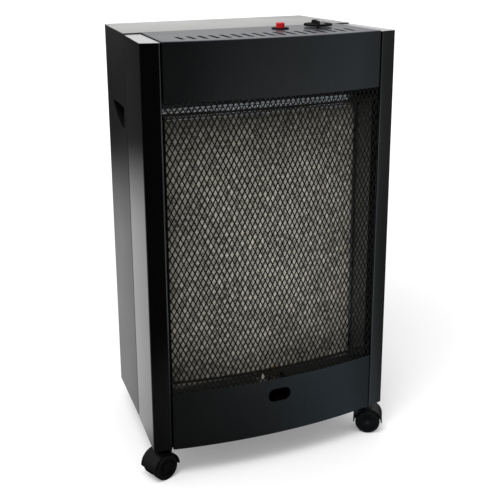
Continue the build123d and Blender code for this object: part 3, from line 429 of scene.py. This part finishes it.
# which finish each CAD piece wears
nodeFinish = {
    "frontEnamel": ["top_fascia", "lower_panel"],
    "pillarEnamel": ["right_pillar", "left_pillar"],
    "sideEnamel": ["right_side_panel", "left_side_panel", "rear_cover", "base_tray"],
    "topEnamel": ["top_cover"],
    "deckEnamel": ["control_deck"],
    "guardEnamel": ["mesh_guard", "guard_rails", "guard_rivets"],
    "blackedSheet": ["recess_floor", "heat_deflector", "bulkhead"],
    "zincSheet": ["burner_tray", "burner_brackets", "valve_strap", "pilot_bracket"],
    "cheekSteel": ["right_reflector_cheek", "left_reflector_cheek"],
    "brightTrim": ["pad_frame"],
    "blackedSteel": ["front_left_axle", "front_right_axle", "rear_left_axle", "rear_right_axle"],
    "zincFixings": ["seam_screws", "caster_stems", "caster_nuts", "igniter_nut", "valve_spindle",
                    "valve_rod"],
    "brassBody": ["gas_valve", "injector", "hose_nozzle", "pilot_burner"],
    "copperTube": ["feed_pipe", "pilot_pipe", "inlet_pipe", "thermocouple"],
    "pointerMarkAndHighlight": ["knob_pointer"],
    "leadSleeve": ["ignition_lead"],
    "glazedCeramic": ["spark_electrode"],
    "cupPlastic": ["right_handle_cup", "left_handle_cup"],
    "knobPlastic": ["control_knob", "igniter", "igniter_collar"],
    "buttonRed": ["igniter_button"],
    "casterPlastic": ["front_left_caster_hood", "front_right_caster_hood", "rear_left_caster_hood",
                      "rear_right_caster_hood"],
    "wheelPlastic": ["front_left_wheels", "front_right_wheels", "rear_left_wheels",
                     "rear_right_wheels"],
}
shading = {"Join Distance": 0.00001, "Sharp Angle": math.radians(28)}


def buildSoftShading():
    # joins the CAD mesh's loose triangles and shades it smooth up to the sharp angle
    group = bpy.data.node_groups.new("softShading", "GeometryNodeTree")
    group.interface.new_socket("Geometry", in_out="INPUT", socket_type="NodeSocketGeometry")
    for label in shading:
        group.interface.new_socket(label, in_out="INPUT", socket_type="NodeSocketFloat")
    group.interface.new_socket("Geometry", in_out="OUTPUT", socket_type="NodeSocketGeometry")
    tree = Tree(group)
    given, out = tree.add("NodeGroupInput"), tree.add("NodeGroupOutput")
    merge = tree.add("GeometryNodeMergeByDistance")
    tree.join(given.outputs["Geometry"], merge.inputs["Geometry"])
    tree.join(given.outputs["Join Distance"], merge.inputs["Distance"])
    smooth = tree.add("GeometryNodeSetShadeSmooth", domain="FACE")
    tree.join(merge.outputs["Geometry"], smooth.inputs["Geometry"])
    angle = tree.add("GeometryNodeInputMeshEdgeAngle")
    sharper = tree.add("FunctionNodeCompare", data_type="FLOAT", operation="GREATER_THAN")
    tree.join(angle.outputs["Unsigned Angle"], sharper.inputs[0])
    tree.join(given.outputs["Sharp Angle"], sharper.inputs[1])
    crease = tree.add("GeometryNodeSetShadeSmooth", domain="EDGE")
    tree.join(smooth.outputs["Geometry"], crease.inputs["Geometry"])
    tree.join(sharper.outputs["Result"], crease.inputs["Selection"])
    crease.inputs["Shade Smooth"].default_value = False
    tree.join(crease.outputs["Geometry"], out.inputs["Geometry"])
    return group


def dressNodes():
    softShading = buildSoftShading()
    for finishName, nodeNames in nodeFinish.items():
        for nodeName in nodeNames:
            piece = nodes[nodeName]
            if not piece.material_slots:
                piece.data.materials.append(finishes[finishName])
            for slot in piece.material_slots:
                slot.material = finishes[finishName]
            modifier = piece.modifiers.new("softShading", "NODES")
            modifier.node_group = softShading
            setInputs(modifier, shading)
    print("stage: CAD pieces finished")


dressNodes()

guardLow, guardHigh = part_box("mesh_guard")
meshFoot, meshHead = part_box("lower_panel")[1].z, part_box("top_fascia")[0].z
guard = {
    "innerHalf": guardHigh.x,
    "bowRise": 0.018,
    "bowFront": cadBox[0][1],
    "inset": 0.0015,
    "thickness": 0.0012,
    "tuckedIn": 0.009,  # the mesh reaches this far behind the fascia and the lower panel
    "sideGap": 0.0003,
    "cellWidth": 0.00836,
    "cellHeight": 0.0161,
    "strandWidth": 0.00175,
    "strandTwist": math.radians(24),
    "knuckleHeight": 0.0032,
    "knuckleWider": 1.15,
    "knuckleThicker": 1.2,
    "stripThickness": 0.0012,
    "stripSetBack": 0.0225,
    "stripGap": 0.0005,
}


def buildGuardTree():
    # a flat lattice of crossing strands with a knuckle at each crossing, then bent to the bow
    group = bpy.data.node_groups.new("expandedMetal", "GeometryNodeTree")
    for label in ("Width", "Low", "High", "Cell Width", "Cell Height", "Strand Width", "Thickness",
                  "Twist", "Knuckle Height", "Bow Radius", "Bow Centre", "Inset"):
        group.interface.new_socket(label, in_out="INPUT", socket_type="NodeSocketFloat")
    group.interface.new_socket("Finish", in_out="INPUT", socket_type="NodeSocketMaterial")
    group.interface.new_socket("Geometry", in_out="OUTPUT", socket_type="NodeSocketGeometry")
    tree = Tree(group)
    given, out = tree.add("NodeGroupInput").outputs, tree.add("NodeGroupOutput").inputs
    tall = tree.sum("SUBTRACT", given["High"], given["Low"])
    columns = tree.sum("FLOOR", tree.sum("DIVIDE", given["Width"], given["Cell Width"]))
    rows = tree.sum("FLOOR", tree.sum("DIVIDE", tall, given["Cell Height"]))
    pitchX = tree.sum("DIVIDE", given["Width"], columns)
    pitchZ = tree.sum("DIVIDE", tall, rows)
    middle = tree.sum("MULTIPLY", tree.sum("ADD", given["High"], given["Low"]), 0.5)

    def moved(geometry, label, value):
        node = tree.add("GeometryNodeTransform")
        tree.join(geometry, node.inputs["Geometry"])
        tree.feed(node.inputs[label], value)
        return node.outputs["Geometry"]

    def block(wide, thick, high):
        cube = tree.add("GeometryNodeMeshCube")
        tree.join(tree.vector(x=wide, y=thick, z=high), cube.inputs["Size"])
        return cube.outputs["Mesh"]

    def lattice(extraColumns, extraRows):
        # points where strands cross; the second lattice sits half a cell off the first
        countX = tree.sum("ADD", columns, extraColumns)
        countZ = tree.sum("ADD", rows, extraRows)
        grid = tree.add("GeometryNodeMeshGrid")
        for size, vertices, pitch, count in (("Size X", "Vertices X", pitchX, countX),
                                             ("Size Y", "Vertices Y", pitchZ, countZ)):
            gaps = tree.sum("SUBTRACT", count, 1.0)
            tree.join(tree.sum("MULTIPLY", pitch, gaps), grid.inputs[size])
            tree.join(count, grid.inputs[vertices])
        upright = moved(grid.outputs["Mesh"], "Rotation", (math.radians(90), 0, 0))
        return moved(upright, "Translation", tree.vector(z=middle))

    crossings = tree.add("GeometryNodeJoinGeometry")
    tree.join(lattice(0.0, 1.0), crossings.inputs[0])
    tree.join(lattice(-1.0, 0.0), crossings.inputs[0])

    halfX = tree.sum("MULTIPLY", pitchX, 0.5)
    halfZ = tree.sum("MULTIPLY", pitchZ, 0.5)
    diagonal = tree.sum("SQRT", tree.sum("ADD", tree.sum("MULTIPLY", halfX, halfX),
                                         tree.sum("MULTIPLY", halfZ, halfZ)))
    slope = tree.sum("ARCTAN2", halfX, halfZ)
    unit = tree.add("GeometryNodeJoinGeometry")
    for side in (1.0, -1.0):
        bar = block(given["Strand Width"], given["Thickness"], diagonal)
        twist = tree.vector(z=tree.sum("MULTIPLY", given["Twist"], side))
        lean = tree.vector(y=tree.sum("MULTIPLY", slope, side))
        tree.join(moved(moved(bar, "Rotation", twist), "Rotation", lean), unit.inputs[0])
    knuckle = block(tree.sum("MULTIPLY", given["Strand Width"], guard["knuckleWider"]),
                    tree.sum("MULTIPLY", given["Thickness"], guard["knuckleThicker"]),
                    given["Knuckle Height"])
    tree.join(knuckle, unit.inputs[0])

    scatter = tree.add("GeometryNodeInstanceOnPoints")
    tree.join(crossings.outputs[0], scatter.inputs["Points"])
    tree.join(unit.outputs[0], scatter.inputs["Instance"])
    real = tree.add("GeometryNodeRealizeInstances")
    tree.join(scatter.outputs["Instances"], real.inputs["Geometry"])

    # y = bow centre - sqrt((radius - inset)^2 - x^2)
    x = tree.axes(tree.add("GeometryNodeInputPosition").outputs[0])["X"]
    inner = tree.sum("SUBTRACT", given["Bow Radius"], given["Inset"])
    reach = tree.sum("SQRT", tree.sum("SUBTRACT", tree.sum("MULTIPLY", inner, inner),
                                      tree.sum("MULTIPLY", x, x)))
    bent = tree.add("GeometryNodeSetPosition")
    tree.join(real.outputs["Geometry"], bent.inputs["Geometry"])
    back = tree.sum("SUBTRACT", given["Bow Centre"], reach)
    tree.join(tree.vector(y=back), bent.inputs["Offset"])
    painted = tree.add("GeometryNodeSetMaterial")
    tree.join(bent.outputs["Geometry"], painted.inputs["Geometry"])
    tree.join(given["Finish"], painted.inputs["Material"])
    tree.join(painted.outputs["Geometry"], out["Geometry"])
    return group


def addSideStrips(mesh):
    # the guard's folded sides, which the rivets hold
    bm = bmesh.new()
    bm.from_mesh(mesh)
    half = guard["innerHalf"]
    lowZ, highZ = meshFoot + guard["stripGap"], meshHead - guard["stripGap"]
    frontY, rearY = guardLow.y + guard["stripSetBack"], guardHigh.y
    for side in (-1, 1):
        edges = (side * (half - guard["stripThickness"]), side * half)
        lowest, highest = (min(edges), frontY, lowZ), (max(edges), rearY, highZ)
        for vertex in bmesh.ops.create_cube(bm, size=1.0)["verts"]:
            vertex.co = Vector([highest[i] if vertex.co[i] > 0 else lowest[i] for i in range(3)])
    bm.to_mesh(mesh)
    bm.free()


def makeGuard():
    half, rise = guard["innerHalf"], guard["bowRise"]
    radius = (half**2 + rise**2) / (2 * rise)
    helper = bpy.data.objects.new("guardHelper", bpy.data.meshes.new("guardHelper"))
    looks.objects.link(helper)
    modifier = helper.modifiers.new("expandedMetal", "NODES")
    modifier.node_group = buildGuardTree()
    setInputs(modifier, {
        "Width": 2 * half - 2 * guard["sideGap"],
        "Low": meshFoot - guard["tuckedIn"],
        "High": meshHead + guard["tuckedIn"],
        "Cell Width": guard["cellWidth"],
        "Cell Height": guard["cellHeight"],
        "Strand Width": guard["strandWidth"],
        "Thickness": guard["thickness"],
        "Twist": guard["strandTwist"],
        "Knuckle Height": guard["knuckleHeight"],
        "Bow Radius": radius,
        "Bow Centre": guard["bowFront"] + radius,
        "Inset": guard["inset"] + guard["thickness"] / 2,
        "Finish": finishes["guardEnamel"],
    })
    mesh = bakeToMesh(helper, "expandedGuard")
    addSideStrips(mesh)
    piece = addPiece("expandedGuard", mesh, "cabinet", finishes["guardEnamel"])
    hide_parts("mesh_guard")
    print("stage: guard", len(mesh.polygons), "faces")


makeGuard()

padLow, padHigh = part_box("heat_pad")
pad = {
    "gap": 0.0004,
    "step": 0.003,
    "faceDepth": 0.0012,
    "lump": {"scale": 120.0, "depth": 0.0011, "layer": 0.3},
    "wave": {"scale": 14.0, "depth": 0.0006, "layer": 4.1},
    "rimSink": 0.0016,
    "rimWidth": 0.004,
    # the fibre's colour: tufts and clouds run from the dark to the pale one
    "tuftScale": 150.0,
    "tuftShare": 0.75,
    "cloud": (11.0, 5.0),
    "cloudShare": 0.4,
    "dark": (0.2, (0.1, 0.095, 0.078, 1)),
    "pale": (0.75, (0.97, 0.93, 0.81, 1)),
    # painted shade on these edges of the pad, darker towards its top, left side and bottom: axis,
    # darkest place, where it ends, darkest factor
    "paintedShade": [
        ("Z", padHigh.z, padHigh.z - 0.05, 0.35),
        ("Z", padHigh.z, padHigh.z - 0.2, 0.85),
        ("X", padLow.x, padLow.x + 0.14, 0.78),
        ("Z", padLow.z, padLow.z + 0.09, 0.7),
    ],
    "fibre": (700.0, 3.0),
    "bump": 0.5,
    "bumpDistance": 0.0008,
    "roughness": 0.95,
    "specular": 0.2,
}


def makePadMaterial():
    material = bpy.data.materials.new("padFibre")
    material.use_nodes = True
    tree = Tree(material.node_tree)
    shader = material.node_tree.nodes["Principled BSDF"]
    place = tree.add("ShaderNodeTexCoord").outputs["Object"]
    tuft = tree.add("ShaderNodeTexVoronoi", feature="SMOOTH_F1")
    tuft.inputs["Scale"].default_value = pad["tuftScale"]
    tree.join(place, tuft.inputs["Vector"])
    tufts = tuft.outputs["Distance"]
    mixed = tree.sum("ADD", tree.sum("MULTIPLY", tufts, pad["tuftShare"]),
                     tree.sum("MULTIPLY", tree.cloud(place, *pad["cloud"]), pad["cloudShare"]))
    ramp = tree.add("ShaderNodeValToRGB")
    for point, stop in zip(ramp.color_ramp.elements, ("dark", "pale")):
        point.position, point.color = pad[stop]
    tree.join(mixed, ramp.inputs["Fac"])
    parts = tree.axes(place)
    shade = 1.0
    # painted shade: each entry darkens the fibre colour towards one edge of the pad
    for axis, start, end, darkest in pad["paintedShade"]:
        fall = tree.spread(parts[axis], (start, end), (darkest, 1.0), "SMOOTHSTEP")
        shade = tree.sum("MULTIPLY", fall, shade)
    paintedShade = tree.add("ShaderNodeVectorMath", operation="SCALE")
    tree.join(ramp.outputs["Color"], paintedShade.inputs[0])
    tree.join(shade, paintedShade.inputs["Scale"])
    tree.join(paintedShade.outputs["Vector"], shader.inputs["Base Color"])
    shader.inputs["Roughness"].default_value = pad["roughness"]
    shader.inputs["Specular IOR Level"].default_value = pad["specular"]
    lift = tree.add("ShaderNodeBump")
    lift.inputs["Strength"].default_value = pad["bump"]
    lift.inputs["Distance"].default_value = pad["bumpDistance"]
    tree.join(tree.sum("ADD", tree.cloud(place, *pad["fibre"]), tufts), lift.inputs["Height"])
    tree.join(lift.outputs["Normal"], shader.inputs["Normal"])
    return material


def padRelief(item, x, z):
    return item["depth"] * noise.noise(Vector((x, item["layer"], z)) * item["scale"])


def makePad():
    # a lumpy front on a grid, with its rim drawn in, then plain sides and a plain back
    low = padLow + Vector((1, 1, 1)) * pad["gap"]
    high = padHigh - Vector((1, 1, 1)) * pad["gap"]
    countX = round((high.x - low.x) / pad["step"])
    countZ = round((high.z - low.z) / pad["step"])
    bm = bmesh.new()
    front = []
    for j in range(countZ + 1):
        row = []
        for i in range(countX + 1):
            x = low.x + (high.x - low.x) * i / countX
            z = low.z + (high.z - low.z) * j / countZ
            rim = min(x - low.x, high.x - x, z - low.z, high.z - z)
            sunk = pad["rimSink"] * max(0.0, 1 - rim / pad["rimWidth"])
            relief = [padRelief(pad[item], x, z) for item in ("lump", "wave")]
            depth = pad["faceDepth"] + relief[0] + relief[1] + sunk
            row.append(bm.verts.new((x, low.y + max(0.0, depth), z)))
        front.append(row)
    for lower, upper in zip(front, front[1:]):
        for i in range(countX):
            bm.faces.new((lower[i], lower[i + 1], upper[i + 1], upper[i]))
    rimLoop = (front[0] + [row[-1] for row in front[1:]]
               + front[-1][-2::-1] + [row[0] for row in front[-2:0:-1]])
    backLoop = [bm.verts.new((v.co.x, high.y, v.co.z)) for v in rimLoop]
    total = len(rimLoop)
    for i in range(total):
        k = (i + 1) % total
        bm.faces.new((rimLoop[k], rimLoop[i], backLoop[i], backLoop[k]))
    bm.faces.new(backLoop)
    bmesh.ops.recalc_face_normals(bm, faces=bm.faces)
    mesh = bpy.data.meshes.new("cataPad")
    bm.to_mesh(mesh)
    bm.free()
    for face in mesh.polygons:
        face.use_smooth = True
    piece = addPiece("fibrePad", mesh, "cabinet", makePadMaterial())
    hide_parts("heat_pad")
    print("stage: pad", len(mesh.polygons), "faces")


makePad()

# a pale floor and soft light; the floor colour that glossy paint mirrors is a painted reflection,
# which changes with the way round the heater
studio = {
    "floorReach": 16.0,
    "floorColour": gray(0.8),
    "floorRoughness": 0.9,
    "cameraGlow": 0.24,  # lifts the floor to white in the picture and leaves the shadow
    "farGlow": 0.25,
    # painted reflection by distance: close floor, then a white sheet band, then far floor, with soft
    # changes between them
    "closeToSheetReflection": (0.5, 0.8),
    "sheetToFar": (1.15, 2.5),
    # by bearing in degrees from the front: level of light, and how cool it is; on the floor these
    # levels are painted reflection, painted light and shade seen only by glossy rays
    "closeFloorReflection": [(-180, 0.48, 0), (-100, 0.48, 0), (-70, 0.15, 0), (-45, 0.03, 0),
                   (-26, 0.055, 0.2), (-10, 0.12, 0.4), (6, 0.2, 0.8), (22, 0.31, 1.8),
                   (40, 0.42, 2.3), (50, 0.24, 1), (60, 0.08, 0), (90, 0.08, 0), (125, 0.5, 0),
                   (180, 0.48, 0)],
    "sheet": [(-180, 0.48, 0), (-100, 0.48, 0), (-70, 0.15, 0), (-45, 0.006, 0), (-8, 0.008, 0),
              (6, 0.5, 1), (25, 0.8, 1.6), (42, 0.4, 1.5), (50, 0.22, 0.4), (60, 0.08, 0),
              (90, 0.08, 0), (125, 0.5, 0), (180, 0.48, 0)],
    "farFloorReflection": [(-180, 0.03, 0), (-120, 0.03, 0), (-80, 0.02, 0), (-50, 0.004, 0), (-6, 0.006, 0),
                 (8, 0.12, 0.6), (28, 0.4, 1.2), (48, 0.76, 1.5), (58, 0.14, 0), (90, 0.1, 0),
                 (135, 0.05, 0), (180, 0.03, 0)],
    "horizon": [(-180, 0.96, 0), (-115, 0.95, 0), (-80, 0.25, 0), (-50, 0.015, 0), (5, 0.02, 0),
                (28, 0.2, 0.8), (48, 0.42, 0.8), (68, 0.3, 0), (100, 0.6, 0), (135, 0.7, 0),
                (150, 0.76, 0), (162, 0.88, 0), (180, 0.96, 0)],
    "coolTint": (-0.12, 0, 0.08),
    "zenith": gray(0.95),
    "zenithRise": (0.2, 0.8),
    # a painted reflection of a white board on the floor in front, seen only by glossy rays:
    # distances, bearings and level
    "boardReflection": {"near": 2.35, "far": 3.1, "from": math.radians(4), "to": math.radians(50),
              "colour": gray(0.98)},
}


def bearingOf(tree, x, y):
    # 0 is the front of the heater, and it grows to its right
    return tree.sum("ARCTAN2", x, tree.sum("MULTIPLY", y, -1.0))


def levelByBearing(tree, bearing, stops):
    ramp = tree.add("ShaderNodeValToRGB")
    tree.join(tree.sum("MULTIPLY_ADD", bearing, 0.5 / math.pi, 0.5), ramp.inputs["Fac"])
    ramp.color_ramp.interpolation = "EASE"
    points = ramp.color_ramp.elements
    for degrees, level, cool in stops[1:-1]:
        points.new(degrees / 360 + 0.5)
    for point, (degrees, level, cool) in zip(points, stops):
        point.color = gray(level, [1 + cool * change for change in studio["coolTint"]])
    return ramp.outputs["Color"]


def makeFloor():
    reach = studio["floorReach"]
    corners = [(-reach, -reach, 0), (reach, -reach, 0), (reach, reach, 0), (-reach, reach, 0)]
    mesh = bpy.data.meshes.new("floor")
    mesh.from_pydata(corners, [], [(0, 1, 2, 3)])
    floor = bpy.data.objects.new("floor", mesh)
    bpy.context.scene.collection.objects.link(floor)
    material = bpy.data.materials.new("floorPaper")
    material.use_nodes = True
    tree = Tree(material.node_tree)
    shader = material.node_tree.nodes["Principled BSDF"]
    shader.inputs["Roughness"].default_value = studio["floorRoughness"]
    shader.inputs["Specular IOR Level"].default_value = 0.0
    shader.inputs["Emission Color"].default_value = (1, 1, 1, 1)
    rays = tree.add("ShaderNodeLightPath").outputs
    parts = tree.axes(tree.add("ShaderNodeTexCoord").outputs["Object"])
    x, y = parts["X"], parts["Y"]
    away = tree.sum("SQRT", tree.sum("ADD", tree.sum("MULTIPLY", x, x), tree.sum("MULTIPLY", y, y)))
    pastClose = tree.spread(away, studio["closeToSheetReflection"], shape="SMOOTHSTEP")
    pastSheetReflection = tree.spread(away, studio["sheetToFar"], shape="SMOOTHSTEP")

    seen = tree.sum("MAXIMUM", rays["Is Camera Ray"], rays["Is Transmission Ray"])
    glow = tree.sum("MULTIPLY_ADD", pastSheetReflection, studio["farGlow"], studio["cameraGlow"])
    tree.join(tree.sum("MULTIPLY", seen, glow), shader.inputs["Emission Strength"])

    # painted reflection: glossy rays see the floor in these levels by bearing and distance in place
    # of its paper colour
    bearing = bearingOf(tree, x, y)
    close = levelByBearing(tree, bearing, studio["closeFloorReflection"])
    mirrored = tree.mix(pastClose, close, levelByBearing(tree, bearing, studio["sheet"]))
    mirrored = tree.mix(pastSheetReflection, mirrored, levelByBearing(tree, bearing, studio["farFloorReflection"]))
    boardReflection = studio["boardReflection"]
    inBoardReflection = 1.0
    limits = ((away, boardReflection["near"], boardReflection["far"]), (bearing, boardReflection["from"], boardReflection["to"]))
    for value, low, high in limits:
        within = tree.sum("MULTIPLY", tree.sum("GREATER_THAN", value, low),
                          tree.sum("LESS_THAN", value, high))
        inBoardReflection = tree.sum("MULTIPLY", within, inBoardReflection)
    mirrored = tree.mix(inBoardReflection, mirrored, boardReflection["colour"])
    paperAndPaintedReflection = tree.mix(rays["Is Glossy Ray"], studio["floorColour"], mirrored)
    tree.join(paperAndPaintedReflection, shader.inputs["Base Color"])
    mesh.materials.append(material)


def makeWorld():
    world = bpy.data.worlds.new("softStudio")
    bpy.context.scene.world = world
    world.use_nodes = True
    tree = Tree(world.node_tree)
    sky = world.node_tree.nodes["Background"]
    parts = tree.axes(tree.add("ShaderNodeTexCoord").outputs["Generated"])
    low = levelByBearing(tree, bearingOf(tree, parts["X"], parts["Y"]), studio["horizon"])
    high = tree.spread(parts["Z"], studio["zenithRise"], shape="SMOOTHSTEP")
    light = tree.mix(high, low, studio["zenith"])
    rays = tree.add("ShaderNodeLightPath").outputs
    tree.join(tree.mix(rays["Is Camera Ray"], light, (1, 1, 1, 1)), sky.inputs["Color"])
    sky.inputs["Strength"].default_value = 1.0


softbox = {"at": (-1.1, -1.25, 2.6), "aim": (0, 0, 0.3), "size": (1.2, 1.0), "power": 46}


def makeSoftbox():
    light = bpy.data.lights.new("overheadSoftbox", "AREA")
    light.shape = "RECTANGLE"
    light.size, light.size_y = softbox["size"]
    light.energy = softbox["power"]
    lamp = bpy.data.objects.new("overheadSoftbox", light)
    bpy.context.scene.collection.objects.link(lamp)
    lamp.location = softbox["at"]
    way = Vector(softbox["aim"]) - Vector(softbox["at"])
    lamp.rotation_euler = way.to_track_quat("-Z", "Y").to_euler()


view = {
    "place": (-0.6155, -1.4790, 0.8624),
    "yaw": math.radians(23.62),
    "pitch": math.radians(16.95),
    "roll": math.radians(-0.22),
    "filmWidth": 36,
    "focus": 964.3 / 500,  # this and the shift are in widths of the picture
    "shiftDown": 31.4 / 500,
    "clipEnd": 60,
}


def makeCamera():
    data = bpy.data.cameras.new("photoView")
    data.sensor_width = view["filmWidth"]
    data.sensor_fit = "HORIZONTAL"
    data.lens = view["focus"] * view["filmWidth"]
    data.shift_y = -view["shiftDown"]
    data.clip_end = view["clipEnd"]
    camera = bpy.data.objects.new("photoView", data)
    bpy.context.scene.collection.objects.link(camera)
    yaw, pitch, roll = view["yaw"], view["pitch"], view["roll"]
    ahead = Vector((math.sin(yaw) * math.cos(pitch), math.cos(yaw) * math.cos(pitch),
                    -math.sin(pitch)))
    level = Vector((math.cos(yaw), -math.sin(yaw), 0))
    upright = level.cross(ahead)
    right = math.cos(roll) * level + math.sin(roll) * upright
    up = math.cos(roll) * upright - math.sin(roll) * level
    turn = Matrix((right, up, -ahead)).transposed()
    camera.matrix_world = Matrix.Translation(view["place"]) @ turn.to_4x4()
    bpy.context.scene.camera = camera


makeFloor()
makeWorld()
makeSoftbox()
makeCamera()
bpy.context.scene.view_settings.view_transform = "Standard"
print("stage: studio ready")
